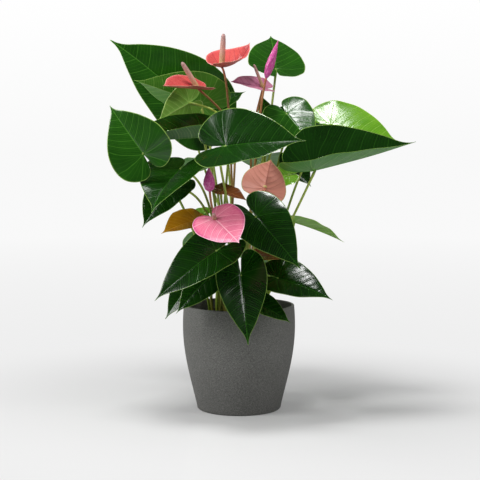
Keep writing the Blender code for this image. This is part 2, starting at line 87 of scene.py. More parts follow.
def closedRows(grid):
    # rows of rings from one end to the other, each end closed by a fan about its ring's middle
    rows, around = grid.shape[:2]
    points = np.vstack([grid[0].mean(0), grid.reshape(-1, 3), grid[-1].mean(0)])
    ring = np.arange(around)
    after = (ring + 1) % around
    last = 1 + (rows - 1) * around
    start = np.stack([1 + after, 1 + ring, ring * 0], -1)
    end = np.stack([last + ring, last + after, ring * 0 + len(points) - 1], -1)
    return points, [ringQuads(rows, around), start, end]


def makePiece(node, parts, finishes):
    # One mesh of all the parts, which stands for a CAD node. A part has its points, its faces as whole arrays
    # of corners, its finish numbers, its flat place in mm and, on a blade, the vein field.
    faces, numbers, veins = [], [], []
    count = 0
    for part in parts:
        for block in part["faces"]:
            faces += (block + count).tolist()
        numbers.append(np.broadcast_to(part.get("numbers", 0), sum(map(len, part["faces"]))))
        veins.append(part.get("veins", np.zeros_like(part["points"])))
        count += len(part["points"])
    flat = [part["flat"] for part in parts]
    mesh = bpy.data.meshes.new(node + "_living")
    mesh.from_pydata(np.vstack([part["points"] for part in parts]).tolist(), [], faces)
    for label, values in (("flat", flat), ("veins", veins)):
        layer = mesh.attributes.new(label, "FLOAT_VECTOR", "POINT")
        layer.data.foreach_set("vector", np.vstack(values).astype(np.float32).ravel())
    for finish in finishes:
        mesh.materials.append(finish)
    mesh.polygons.foreach_set("material_index", np.concatenate(numbers).astype(np.int32))
    mesh.polygons.foreach_set("use_smooth", np.ones(len(mesh.polygons), bool))
    mesh.update()
    piece = bpy.data.objects.new(node + "_living", mesh)
    bpy.context.scene.collection.objects.link(piece)
    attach(piece, "root")
    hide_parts(node)


def addNode(tree, kind, settings=None, **inputs):
    # one node with its settings; an input is a value or another node's output, and "i0" is its first input
    node = tree.nodes.new("ShaderNode" + kind)
    for key, value in (settings or {}).items():
        setattr(node, key, value)
    for key, value in inputs.items():
        socket = node.inputs[int(key[1:])] if key[1:].isdigit() else node.inputs[key.replace("_", " ")]
        if isinstance(value, bpy.types.NodeSocket):
            tree.links.new(value, socket)
        else:
            socket.default_value = value
    return node


# settings that many nodes share
smooth = {"interpolation_type": "SMOOTHSTEP"}
colours = {"data_type": "RGBA"}
multiply = {"operation": "MULTIPLY"}
multiplyAdd = {"operation": "MULTIPLY_ADD"}


def newFinish(name, onFlat=True):
    # a new finish, its nodes and its pattern's place: the flat attribute in mm, or the frame's metres
    finish = bpy.data.materials.new(name)
    finish.use_nodes = True
    tree = finish.node_tree
    if onFlat:
        return finish, tree, addNode(tree, "Attribute", {"attribute_name": "flat"}).outputs["Vector"]
    return finish, tree, addNode(tree, "TexCoord").outputs["Object"]


def joinSkin(finish, colour, grain, gloss, height, relief, span=(0.3, 0.7), invert=False):
    # A finish's colour, its roughness, which runs over gloss as the grain runs over span, and its relief,
    # which is a strength and the metres that a height of 1 stands for.
    tree = finish.node_tree
    shader = tree.nodes["Principled BSDF"]
    rough = addNode(tree, "MapRange", i0=grain, i1=span[0], i2=span[1], i3=gloss[0], i4=gloss[1])
    bump = addNode(tree, "Bump", {"invert": invert}, Strength=relief[0], Distance=relief[1], Height=height)
    for output, label in ((colour, "Base Color"), (rough.outputs[0], "Roughness"), (bump.outputs[0], "Normal")):
        tree.links.new(output, shader.inputs[label])
    return finish


camera = dict(place=(0, -1.9, 0.42), target=(0, 0, 0.278), lens=87, sensor=36, shift=0.0021)
softboxes = {
    "keyLeft": dict(place=(-1.75, -0.75, 1.25), target=(0, 0, 0.4), size=0.9, watts=26),
    "fillRight": dict(place=(1.5, -0.9, 1.1), target=(0, 0, 0.35), size=0.5, watts=9),
    "overhead": dict(place=(-0.25, -0.45, 1.95), target=(0, 0, 0.3), size=0.4, watts=25),
    "back": dict(place=(-1.5, 0.9, 1.5), target=(0, 0, 0.4), size=0.5, watts=6),
}
skyLook = dict(colour="#ffffff", horizon=0.945, whiteFrom=0.13, onMatt=0.42, onShiny=0.07)
floorLook = dict(radius=9.0, corners=128, colour="#e2e2e2", rough=0.06,
                 fadeFrom=0.1, fadeTo=0.75, least=0.1, near=0.84, farAt=4.0)


def aim(made, place, target):
    made.location = place
    made.rotation_euler = (Vector(target) - Vector(place)).to_track_quat("-Z", "Y").to_euler()
    bpy.context.scene.collection.objects.link(made)


def buildCamera():
    lensData = bpy.data.cameras.new("camera")
    lensData.lens = camera["lens"]
    lensData.sensor_width = camera["sensor"]
    lensData.shift_x = camera["shift"]
    taker = bpy.data.objects.new("camera", lensData)
    aim(taker, camera["place"], camera["target"])
    bpy.context.scene.camera = taker
    bpy.context.scene.view_settings.view_transform = "Standard"


def buildSoftboxes():
    for name, box in softboxes.items():
        light = bpy.data.lights.new(name, "AREA")
        light.energy = box["watts"]
        light.shape = "RECTANGLE"
        light.size = light.size_y = box["size"]
        aim(bpy.data.objects.new(name, light), box["place"], box["target"])


def buildSky():
    # the camera sees white that is a little darker at the horizon; matt and shiny skins feel it dimmer
    world = bpy.data.worlds.new("studio")
    bpy.context.scene.world = world
    world.use_nodes = True
    tree = world.node_tree
    sky = tree.nodes["Background"]
    ray = addNode(tree, "LightPath").outputs
    height = addNode(tree, "SeparateXYZ", i0=addNode(tree, "TexCoord").outputs["Generated"]).outputs[2]
    seen = addNode(tree, "MapRange", i0=height, i1=0.0, i2=skyLook["whiteFrom"],
                   i3=skyLook["horizon"], i4=1.0).outputs[0]
    felt = addNode(tree, "MapRange", i0=ray["Is Glossy Ray"],
                   i3=skyLook["onMatt"], i4=skyLook["onShiny"]).outputs[0]
    strength = addNode(tree, "Mix", i0=ray["Is Camera Ray"], i2=felt, i3=seen).outputs[0]
    sky.inputs["Color"].default_value = linear(skyLook["colour"])
    tree.links.new(strength, sky.inputs["Strength"])


def buildFloor():
    # a flat painted disc; away from the pot the camera sees it glow as bright as the horizon, so no edge shows
    turn = np.linspace(0, 2 * np.pi, floorLook["corners"], endpoint=False)
    ring = np.stack([np.cos(turn), np.sin(turn), turn * 0], -1) * floorLook["radius"]
    mesh = bpy.data.meshes.new("floor")
    mesh.from_pydata(ring.tolist(), [], [list(range(len(turn)))])
    finish, tree, where = newFinish("paintedFloor", onFlat=False)
    shader = tree.nodes["Principled BSDF"]
    shader.inputs["Base Color"].default_value = linear(floorLook["colour"])
    shader.inputs["Roughness"].default_value = floorLook["rough"]
    away = addNode(tree, "VectorMath", {"operation": "LENGTH"}, i0=where).outputs["Value"]
    fade = addNode(tree, "MapRange", {"interpolation_type": "SMOOTHERSTEP"}, i0=away,
                   i1=floorLook["fadeFrom"], i2=floorLook["fadeTo"], i3=floorLook["least"]).outputs[0]
    seen = addNode(tree, "LightPath").outputs["Is Camera Ray"]
    share = addNode(tree, "Math", multiply, i0=fade, i1=seen).outputs[0]
    level = addNode(tree, "MapRange", i0=away, i1=0.0, i2=floorLook["farAt"],
                    i3=floorLook["near"], i4=skyLook["horizon"]).outputs[0]
    glow = addNode(tree, "Emission", Strength=level)
    mixed = addNode(tree, "MixShader", i0=share, i1=shader.outputs[0], i2=glow.outputs[0])
    tree.links.new(mixed.outputs[0], tree.nodes["Material Output"].inputs["Surface"])
    mesh.materials.append(finish)
    floor = bpy.data.objects.new("floor", mesh)
    bpy.context.scene.collection.objects.link(floor)


buildCamera()
buildSoftboxes()
buildSky()
buildFloor()
print("stage: camera,", len(softboxes), "softboxes, sky and floor")


# mm from the middle of the rim: top is where the stalk meets the blade, tip the blade's tip;
# foot is mm from the pot's axis on the soil; faces is the way the upper side looks;
# fold, cup, bend and lobe are degrees, fold and cup for each half; stalk is rise, lean, hook and sweep.
leaves = {
    "leaf_01": dict(top=(-80, 139, 327), tip=(-221, 109, 442), faces=(0.3, -0.85, 0.4), foot=(10, 35),
                    width=0.95, fold=(8, 28), bend=18, stalk=(0.46, 0.5, 0.42, 0.6), look="middle"),
    "leaf_02": dict(top=(-64, 22, 329), tip=(-168, -28, 364), faces=(0.1, 0.8, 0.45), foot=(-15, 10),
                    width=1, fold=(8, 35), bend=10, stalk=(0.4, 0.5, 0.1, 0.4), look="middle"),
    "leaf_03": dict(top=(-53, 104, 319), tip=(12, 144, 355), faces=(-0.2, -0.6, 0.8), foot=(-6, 31),
                    width=0.9, fold=(15, 15), bend=10, stalk=(0.95, 0.3, 0.15, -0.7)),
    "leaf_04": dict(top=(-81, -10, 329), tip=(-130, -50, 298), faces=(-0.15, 0.85, 0.35), foot=(-24, 2),
                    width=1.05, fold=(8, 8), bend=10, stalk=(0.74, 0.9, 0.34, 0.8), look="youngAndBacklit"),
    "leaf_05": dict(top=(-57, -46, 274), tip=(-192, -131, 259), faces=(0, 0.05, 1), foot=(-20, -10),
                    width=0.75, fold=(20, 48), bend=5, stalk=(0.4, 0.9, 0.11, 0.3)),
    "leaf_06": dict(top=(-144, -150, 247), tip=(-196, -130, 320), faces=(-0.35, -0.85, 0.4), foot=(-43, -13),
                    width=1.2, fold=(6, 16), bend=15, stalk=(0.61, 0.2, 0.45, -1.2), look="middle"),
    "leaf_07": dict(top=(-91, -100, 224), tip=(-128, -210, 163), faces=(-0.3, -0.75, 0.65), foot=(-28, -20),
                    width=0.98, fold=(12, 10), bend=20, stalk=(0.98, 0.1, 0.06, 0.9)),
    "leaf_08": dict(top=(-104, -90, 192), tip=(-147, -140, 135), faces=(-0.3, -0.75, 0.5), foot=(-13, -20),
                    width=0.95, fold=(10, 10), bend=20, stalk=(1, 0.4, 0.1, 1.5)),
    "leaf_09": dict(top=(-68, -60, 141), tip=(-121, -100, 123), faces=(-0.1, -0.5, 0.8), foot=(-45, 7),
                    width=1.15, fold=(10, 10), bend=20, stalk=(0.24, 0.3, 0.25, 2), look="bronze"),
    "leaf_10": dict(top=(-59, -12, 151), tip=(-94, 8, 145), faces=(-0.1, -0.3, 0.9), foot=(-30, 10),
                    width=1, fold=(10, 10), bend=20, stalk=(0.4, 1.5, 0.14, 0.4), look="youngAndBacklit"),
    "leaf_11": dict(top=(-19, -168, 259), tip=(98, -198, 266), faces=(-0.05, -0.75, 0.62), foot=(-3, -18),
                    width=1.08, fold=(20, 20), bend=12, stalk=(0.79, 1, 0.15, 1.7)),
    "leaf_12": dict(top=(118, -100, 222), tip=(274, -100, 265), faces=(0, 0.05, 1), foot=(30, -10),
                    width=0.95, fold=(76, 9), cup=(6, 8), bend=-4, lobe=-90, stalk=(0.4, 1.4, 0.39, 0.8)),
    "leaf_13": dict(top=(152, 20, 293), tip=(263, 0, 266), faces=(0.1, -0.75, 0.65), foot=(36, 9),
                    width=1, fold=(8, 8), bend=20, stalk=(0.4, 1.2, 0.2, 1.3), look="youngAndBacklit"),
    "leaf_14": dict(top=(96, 58, 304), tip=(157, 108, 291), faces=(0, -0.6, 0.8), foot=(30, 31),
                    width=1, fold=(8, 8), bend=15, stalk=(0.4, 1.5, 0.18, 0.7), look="middle"),
    "leaf_15": dict(top=(78, 0, 312), tip=(120, -40, 253), faces=(0.1, -0.8, 0.5), foot=(15, 10),
                    width=1.1, fold=(8, 8), bend=15, stalk=(0.72, 0.9, 0.35, 0.5), look="middle"),
    "leaf_16": dict(top=(62, 55, 389), tip=(55, 145, 452), faces=(0.15, -0.8, 0.5), foot=(12, 27),
                    width=0.98, fold=(10, 10), bend=12, lobe=-90, stalk=(0.2, 1.6, 0.15, 0.9), look="middle"),
    "leaf_17": dict(top=(48, 40, 307), tip=(37, 60, 346), faces=(0, -0.9, 0.3), foot=(0, 30),
                    width=0.7, fold=(10, 10), bend=5, stalk=(0.46, 0.4, 0.12, 1.3)),
    "leaf_18": dict(top=(26, -138, 151), tip=(92, -188, 76), faces=(-0.1, -0.75, 0.65), foot=(10, -25),
                    width=0.9, fold=(10, 10), bend=15, stalk=(0.4, 0.8, 0.36, 0.7)),
    "leaf_19": dict(top=(90, -13, 136), tip=(175, 27, 100), faces=(0.1, 0.05, 1), foot=(35, 0),
                    width=0.8, fold=(15, 15), bend=10, stalk=(0.36, 1.6, 0.11, -0.1), look="youngAndBacklit"),
    "leaf_20": dict(top=(61, -103, 54), tip=(143, -143, 24), faces=(0.15, -0.75, 0.7), foot=(30, -25),
                    width=0.9, fold=(12, 12), bend=20, stalk=(0.3, 1, 0.13, 0.4)),
    "leaf_21": dict(top=(3, -120, 61), tip=(14, -155, -42), faces=(-0.05, -0.9, 0.3), foot=(12, -46),
                    width=0.83, fold=(12, 22), bend=15, stalk=(0.57, 1.7, 0.13, -0.3)),
    "leaf_22": dict(top=(-35, -135, 99), tip=(-128, -150, 24), faces=(-0.25, -0.75, 0.6), foot=(-37, -20),
                    width=0.8, fold=(12, 12), bend=20, stalk=(0.93, 0.5, 0.25, 1.6)),
    "leaf_23": dict(top=(-67, -90, 56), tip=(-115, -110, -9), faces=(-0.4, -0.8, 0.3), foot=(-45, -20),
                    width=0.75, fold=(10, 10), bend=15, stalk=(0.5, 1.4, 0.22, 0.5)),
    "leaf_24": dict(top=(-39, -107, 64), tip=(-97, -127, 1), faces=(-0.3, -0.85, 0.3), foot=(-35, -30),
                    width=0.8, fold=(10, 10), bend=15, stalk=(0.79, 1.2, 0.19, 1.4)),
    "leaf_25": dict(top=(28, -100, 15), tip=(80, -120, -15), faces=(0.15, -0.6, 0.75), foot=(20, -45),
                    width=0.85, fold=(12, 12), bend=20, stalk=(0.71, 0.8, 0.21, 1.1)),
    "leaf_26": dict(top=(30, -80, 88), tip=(75, -120, 84), faces=(0, -0.5, 0.8), foot=(20, -35),
                    width=1.1, fold=(10, 10), bend=20, stalk=(0.41, 1.5, 0.28, 0.4), look="russet"),
    "leaf_27": dict(top=(-29, -60, 190), tip=(14, -100, 174), faces=(0, -0.4, 0.9), foot=(0, 0),
                    width=0.7, fold=(10, 10), bend=10, stalk=(0.41, 1.2, 0.17, 0.2), look="russet"),
    "leaf_28": dict(top=(81, -20, 213), tip=(38, 0, 204), faces=(0, -0.8, 0.5), foot=(23, 21),
                    width=1, fold=(8, 8), bend=10, stalk=(0.42, 1.8, 0.39, -1.2), look="youngAndBacklit"),
    "leaf_29": dict(top=(89, 50, 237), tip=(121, 50, 192), faces=(0.1, -0.8, 0.4), foot=(47, 16),
                    width=1, fold=(8, 8), bend=10, stalk=(0.42, 0.3, 0.22, 0.9)),
    "leaf_30": dict(top=(-50, 100, 228), tip=(-120, 170, 198), faces=(-0.2, 0.4, 0.9), foot=(-30, 35),
                    width=0.9, fold=(10, 10), bend=25, stalk=(0.73, 1.8, 0.06, 1.3)),
    "leaf_31": dict(top=(30, 110, 238), tip=(60, 230, 198), faces=(0.1, 0.4, 0.9), foot=(10, 40),
                    width=0.9, fold=(10, 10), bend=25, stalk=(0.4, 1.3, 0.2, 1.1)),
    "leaf_32": dict(top=(40, 90, 98), tip=(90, 170, 48), faces=(0.4, 0.4, 0.8), foot=(41, 23),
                    width=0.9, fold=(10, 10), bend=25, stalk=(0.94, 1.6, 0.28, 1.9)),
    "leaf_33": dict(top=(-50, 120, 98), tip=(-80, 210, 28), faces=(-0.2, 0.5, 0.8), foot=(-20, 45),
                    width=0.85, fold=(10, 10), bend=25, stalk=(0.4, 1.3, 0.15, 0.2)),
    "leaf_34": dict(top=(30, 110, 68), tip=(60, 200, 8), faces=(0.2, 0.5, 0.8), foot=(20, 45),
                    width=0.85, fold=(10, 10), bend=25, stalk=(0.66, 1.5, 0.09, -0.1)),
}
flowers = {
    "flower_1": dict(top=(-28, 0, 388), tip=(18, 15, 428), faces=(-0.45, -0.24, 0.85), foot=(-5, 11),
                     width=1.35, fold=(30, 10), bend=-72, lobe=-25, stalk=(0.69, 1.3, 0.06, -0.8),
                     look="salmon", spadix=(-25, -5, 441), spadixRadius=0.0045),
    "flower_2": dict(top=(-65, -50, 350), tip=(-118, -90, 352), faces=(-0.05, -0.5, 0.85), foot=(-15, -15),
                     width=0.95, fold=(25, 15), bend=0, stalk=(0.8, 0.1, 0.41, 2.3),
                     look="salmon", spadix=(-90, -60, 391), spadixRadius=0.004),
    "flower_4": dict(top=(39, -5, 354), tip=(-13, -20, 364), faces=(0, -0.5, 0.85), foot=(15, 20),
                     width=0.8, fold=(15, 15), bend=0, stalk=(0.85, 1.3, 0.34, 0),
                     look="mauve", spadix=(24, -15, 391), spadixRadius=0.0025),
    "flower_6": dict(top=(40, -105, 194), tip=(50, -85, 238), faces=(0, 0.95, 0.2), foot=(14, -10),
                     width=1.35, fold=(22, 12), bend=25, stalk=(0.75, 0.5, 0.18, 2.1),
                     look="aged", spadix=(41, -66, 215), spadixRadius=0.0033),
    "flower_7": dict(top=(-36, -180, 151), tip=(0, -230, 119), faces=(-0.05, -0.8, 0.6), foot=(2, -31),
                     width=0.97, fold=(5, 5), bend=10, stalk=(0.99, 0.2, 0.06, 1.3),
                     look="pink", spadix=(-38, -190, 159), spadixRadius=0.003),
}
buds = {
    "flower_3": dict(top=(43, -50, 367), tip=(62, -50, 426), foot=(10, 1),
                     radius=0.0075, stalk=(0.42, 1.3, 0.14)),
    "flower_5": dict(top=(-45, -115, 190), tip=(-46, -125, 226), foot=(-8, -21),
                     radius=0.01, stalk=(0.82, 1.5, 0.27)),
}


# deep and pale are the skin's two shades; the veins, the rim and the underside have their own. dark and
# middle are one green leaf painted at two brightnesses: middle is a painted-lit copy for the upper leaves,
# which take more light, and dark a painted-shade copy for the lower, shaded ones
leafLooks = {
    "dark": dict(slot="leaf_dark", deep="#041a01", pale="#113a05", vein="#2f6416", rim="#7fa048",
                 under="#356e20", underVein="#7fae54"),
    "middle": dict(slot="leaf_dark", deep="#0a2e03", pale="#20520a", vein="#4f8a2a", rim="#8fb052",
                   under="#4a8224", underVein="#84b050"),
    # this look is a young leaf's paler yellow-green, made brighter still as painted glow that stands in for
    # light shining through the blade from behind
    "youngAndBacklit": dict(slot="leaf_young", deep="#3a7410", pale="#6f9f26", vein="#9cc058", rim="#c3d889",
                  under="#6a9a34", underVein="#9cc060"),
    "bronze": dict(slot="leaf_bronze", deep="#8a4a06", pale="#c08a14", vein="#d8a03c", rim="#a8a244",
                   under="#8f7a2c", underVein="#bf9a58"),
    "russet": dict(slot="leaf_bronze", deep="#44200c", pale="#713a18", vein="#98603a", rim="#9a7a3c",
                   under="#7a4a24", underVein="#a8744a"),
}
# Widths are mm, the veins drawn a little wider than real ones so that they show. Clouds, wander and grain are
# patterns to a mm: 29, 20 and 1.7 mm across. Relief is a strength and a height in metres.
bladeSkin = dict(
    midribMm=1.3, midribCore=0.2, veinMm=1.1, sideVeinMm=0.7, sideVeins=4.0, rimMm=0.9, rimCore=0.3, cellMm=3.4,
    clouds=0.035, wander=0.05, stray=0.14, grain=0.6, glossRange=(-0.05, 0.09),
    midribShare=1.3, veinShare=0.75, sideVeinShare=0.35, rimAndHighlightShare=0.7,
    midribRelief=1.2, sideVeinRelief=0.35, cellRelief=0.5, relief=(0.2, 0.0004),
    ior=1.45, upperShine=0.42, underShine=0.22,
)
upperLeaf = dict(rough=0.17, veins=0.35, upper=True)
underLeaf = dict(rough=0.45, veins=0.7, upper=False)


def bladeFinish(name, deep, pale, vein, rim, kind, blush=None):
    # A waxy blade: two shades in slow clouds, paler veins drawn from the vein field, a thin pale rim that is
    # partly the blade's own paler margin and partly a painted highlight along its edge, and a relief that sinks
    # the veins above, lifts them below and puckers the skin between them.
    skin = bladeSkin
    finish, tree, flat = newFinish(name)
    field = addNode(tree, "Attribute", {"attribute_name": "veins"}).outputs["Vector"]
    number, spacing, edge = addNode(tree, "SeparateXYZ", i0=field).outputs
    cloud = addNode(tree, "TexNoise", Vector=flat, Scale=skin["clouds"], Detail=4.0).outputs["Fac"]
    wander = addNode(tree, "TexNoise", Vector=flat, Scale=skin["wander"], Detail=1.0).outputs["Fac"]
    strayed = addNode(tree, "Math", multiplyAdd,
                      i0=wander, i1=skin["stray"], i2=number).outputs[0]
    lines = []
    for split, width in ((1.0, skin["veinMm"]), (skin["sideVeins"], skin["sideVeinMm"])):
        finer = addNode(tree, "Math", multiply, i0=strayed, i1=split).outputs[0]
        near = addNode(tree, "Math", {"operation": "PINGPONG"}, i0=finer, i1=0.5).outputs[0]
        mm = addNode(tree, "Math", multiply, i0=near, i1=spacing).outputs[0]
        lines.append(addNode(tree, "MapRange", smooth,
                             i0=mm, i1=0.0, i2=width * split, i3=1.0, i4=0.0).outputs[0])
    across = addNode(tree, "SeparateXYZ", i0=flat).outputs[1]
    offMidrib = addNode(tree, "Math", {"operation": "ABSOLUTE"}, i0=across).outputs[0]
    midrib = addNode(tree, "MapRange", smooth,
                     i0=offMidrib, i1=skin["midribCore"], i2=skin["midribMm"], i3=1.0, i4=0.0).outputs[0]
    paleRimAndHighlight = addNode(tree, "MapRange", smooth,
                     i0=edge, i1=skin["rimCore"], i2=skin["rimMm"], i3=1.0, i4=0.0).outputs[0]
    cells = addNode(tree, "TexVoronoi", {"feature": "DISTANCE_TO_EDGE", "voronoi_dimensions": "2D"},
                    Vector=flat, Scale=1 / skin["cellMm"]).outputs["Distance"]
    base = addNode(tree, "Mix", colours, i0=cloud, i6=linear(deep), i7=linear(pale)).outputs[2]
    if blush:
        shade = addNode(tree, "MapRange", smooth,
                        i0=edge, i1=0.0, i2=blush["mm"], i3=blush["share"], i4=0.0).outputs[0]
        base = addNode(tree, "Mix", colours,
                       i0=shade, i6=base, i7=linear(blush["colour"])).outputs[2]
    for mask, size in ((lines[1], "sideVeinShare"), (lines[0], "veinShare"), (midrib, "midribShare")):
        part = addNode(tree, "Math", {**multiply, "use_clamp": True},
                       i0=mask, i1=skin[size] * kind["veins"]).outputs[0]
        base = addNode(tree, "Mix", colours, i0=part, i6=base, i7=linear(vein)).outputs[2]
    # the pale rim colour is partly the blade's own paler margin and partly painted highlight, the light line
    # that a glossy edge catches
    part = addNode(tree, "Math", multiply, i0=paleRimAndHighlight, i1=skin["rimAndHighlightShare"]).outputs[0]
    base = addNode(tree, "Mix", colours, i0=part, i6=base, i7=linear(rim)).outputs[2]
    grain = addNode(tree, "TexNoise", Vector=flat, Scale=skin["grain"], Detail=3.0).outputs["Fac"]
    relief = addNode(tree, "Math", multiplyAdd,
                     i0=lines[1], i1=skin["sideVeinRelief"], i2=lines[0]).outputs[0]
    relief = addNode(tree, "Math", multiplyAdd,
                     i0=midrib, i1=skin["midribRelief"], i2=relief).outputs[0]
    relief = addNode(tree, "Math", multiply,
                     i0=relief, i1=-1.0 if kind["upper"] else 1.0).outputs[0]
    relief = addNode(tree, "Math", multiplyAdd,
                     i0=cells, i1=skin["cellRelief"], i2=relief).outputs[0]
    shader = tree.nodes["Principled BSDF"]
    shader.inputs["IOR"].default_value = skin["ior"]
    shader.inputs["Specular IOR Level"].default_value = skin["upperShine" if kind["upper"] else "underShine"]
    gloss = [kind["rough"] + change for change in skin["glossRange"]]
    return joinSkin(finish, base, grain, gloss, relief, skin["relief"])


# where a stalk's colours lie along it, and its patterns to a mm: ridges 0.7 mm wide and 33 mm long, spots 2.5 mm
stalkSkin = dict(places=(0.25, 0.86, 0.955), ridges=(0.03, 1.4, 0.0), spots=0.4, spotColour="#9a8f6a",
                 spotShare=0.45, gloss=(0.34, 0.5), relief=(0.4, 0.0003))


def stalkFinish(name, foot, middle, top, knee):
    # A round fleshy stalk: colour runs from foot to knee, with fine lengthwise ridges and darker spots.
    skin = stalkSkin
    finish, tree, flat = newFinish(name)
    share = addNode(tree, "SeparateXYZ", i0=flat).outputs[2]
    ramp = addNode(tree, "ValToRGB", Fac=share)
    stops = ramp.color_ramp.elements
    stops[0].color = linear(foot)
    stops[1].color = linear(knee)
    for place, code in zip(skin["places"], (middle, top, top)):
        stops.new(place).color = linear(code)
    long = addNode(tree, "Mapping", i0=flat, Scale=skin["ridges"]).outputs[0]
    ridges = addNode(tree, "TexNoise", Vector=long, Scale=1.0, Detail=3.0).outputs["Fac"]
    spots = addNode(tree, "TexNoise", Vector=flat, Scale=skin["spots"], Detail=2.0).outputs["Fac"]
    dapple = addNode(tree, "MapRange", i0=spots, i1=0.35, i2=0.75, i3=0.0, i4=skin["spotShare"]).outputs[0]
    base = addNode(tree, "Mix", {**colours, "blend_type": "MULTIPLY"},
                   i0=dapple, i6=ramp.outputs[0], i7=linear(skin["spotColour"])).outputs[2]
    return joinSkin(finish, base, ridges, skin["gloss"], ridges, skin["relief"])


leafFinishes = {}
for look, codes in leafLooks.items():
    leafFinishes[look] = (
        # living leaf skin, waxed by the plant itself: deep green with a wet-looking gloss
        bladeFinish("waxyLeaf_" + look, codes["deep"], codes["pale"], codes["vein"], codes["rim"], upperLeaf),
        # the leaf's underside, with raised veins and a satin skin
        bladeFinish("satinUnderleaf_" + look, codes["under"], codes["under"], codes["underVein"],
                    codes["rim"], underLeaf),
    )
# living petiole, ripened from brown at the foot to green at the knee under the blade
leafStalkFinish = stalkFinish("greenPetiole", "#6a5a24", "#74902e", "#9aad44", "#7f9a3c")
# living peduncle, reddening towards its flower
flowerStalkFinish = stalkFinish("russetPeduncle", "#6a6428", "#948636", "#a06a40", "#b0563f")


def halfOutline(points, count):
    # Catmull-Rom: 0.5 (2b + (c - a)t + (2a - 5b + 4c - d)t^2 + (3b - a - 3c + d)t^3) through the points
    known = np.array(points, float)
    known = np.vstack([known[1] * (1, -1), known, known[-2] * (1, -1)])
    along = np.linspace(0, len(points) - 1, count)
    span = np.minimum(along.astype(int), len(points) - 2)
    t = (along - span)[:, None]
    a, b, c, d = (known[span + k] for k in range(4))
    curve = 0.5 * (2 * b + (c - a) * t + (2 * a - 5 * b + 4 * c - d) * t**2 + (3 * b - a - 3 * c + d) * t**3)
    curve[:, 1] = np.maximum(curve[:, 1], 0)
    return curve


# in blade lengths: where a cup's angle is reached, the flattest cup, and the midrib's own steps
bending = dict(cupReach=0.45, flattest=1e-4, back=-0.6, front=1.2, steps=361)


def bent(x, y, plan):
    # Across: an arc that starts at the fold angle and turns by the cup angle: side = (sin(f + cs) - sin f) / c.
    # Along: the midrib's slope is bend x before the stalk and lobe x behind it, and the blade is square to it.
    left = y >= 0
    across = np.abs(y) * plan["width"]
    fold = np.radians(np.where(left, *plan["fold"]))
    cup = np.radians(np.where(left, *plan.get("cup", (0, 0)))) / bending["cupReach"]
    cup = np.where(np.abs(cup) < bending["flattest"], bending["flattest"], cup)
    side = (np.sin(fold + cup * across) - np.sin(fold)) / cup * np.where(left, 1, -1)
    rise = (np.cos(fold) - np.cos(fold + cup * across)) / cup
    steps = np.linspace(bending["back"], bending["front"], bending["steps"])
    slope = np.radians(plan["bend"] * np.maximum(steps, 0) + plan.get("lobe", 0) * np.minimum(steps, 0))
    run = np.cumsum(np.cos(slope)) * (steps[1] - steps[0])
    fall = np.cumsum(-np.sin(slope)) * (steps[1] - steps[0])
    hereRun = np.interp(x, steps, run) - np.interp(0, steps, run)
    hereFall = np.interp(x, steps, fall) - np.interp(0, steps, fall)
    hereSlope = np.interp(x, steps, slope)
    return np.stack([hereRun + rise * np.sin(hereSlope), side, hereFall + rise * np.cos(hereSlope)], -1)


def bladeAxes(plan):
    # turns and sizes a bent blade so that it runs from its stalk's top to its tip, upper side the given way
    reach = bent(np.array([1.0]), np.array([0.0]), plan)[0]
    chord = unit(reach)
    normal = unit(np.cross(chord, (0, 1, 0)))
    local = np.stack([chord, np.cross(normal, chord), normal])
    span = spot(plan["tip"]) - spot(plan["top"])
    ahead = unit(span)
    faces = np.array(plan["faces"], float)
    upper = unit(faces - faces.dot(ahead) * ahead)
    placed = np.stack([ahead, np.cross(upper, ahead), upper])
    return local.T @ placed * np.linalg.norm(span) / np.linalg.norm(reach)


# in blade lengths: how a side vein runs forward and curls, its true share of the gap, and the least gap
veinRun = dict(forward=0.45, curl=0.9, gap=0.85, least=0.002)


def veinField(x, y, veinCount, lobeCount):
    # Side veins leave the midrib at x0 and run x = x0 + forward |y| + curl y^2, numbered x0 times veinCount.
    # Behind the first, the lobe veins fan out from the stalk, numbered by their share of the angle left.
    off = np.abs(y)
    ahead = veinRun["forward"] * off + veinRun["curl"] * off**2
    start = x - ahead
    first = np.arctan2(off, ahead + 1e-9)
    lobe = (np.arctan2(off, x) - first) / (np.pi - first) * lobeCount
    number = np.where(start > 0, start * veinCount, -lobe)
    gap = np.where(start > 0, veinRun["gap"] / veinCount, np.hypot(x, y) * (np.pi - first) / lobeCount)
    return number, np.maximum(gap, veinRun["least"])


# ripples and swell: turns round the blade or across it, and mm high; puff fades out near midrib and rim
bladeShape = dict(ringPower=0.9, ripples=((5, 0.6), (9, 0.4)), swellTurns=(7, 6), swellMm=0.5, puffFromMm=8,
                  puffFade=0.12, grooveMm=2.2, grooveEnd=1.05, rimThinner=0.45, lip=0.4, patternStepMm=13.0)


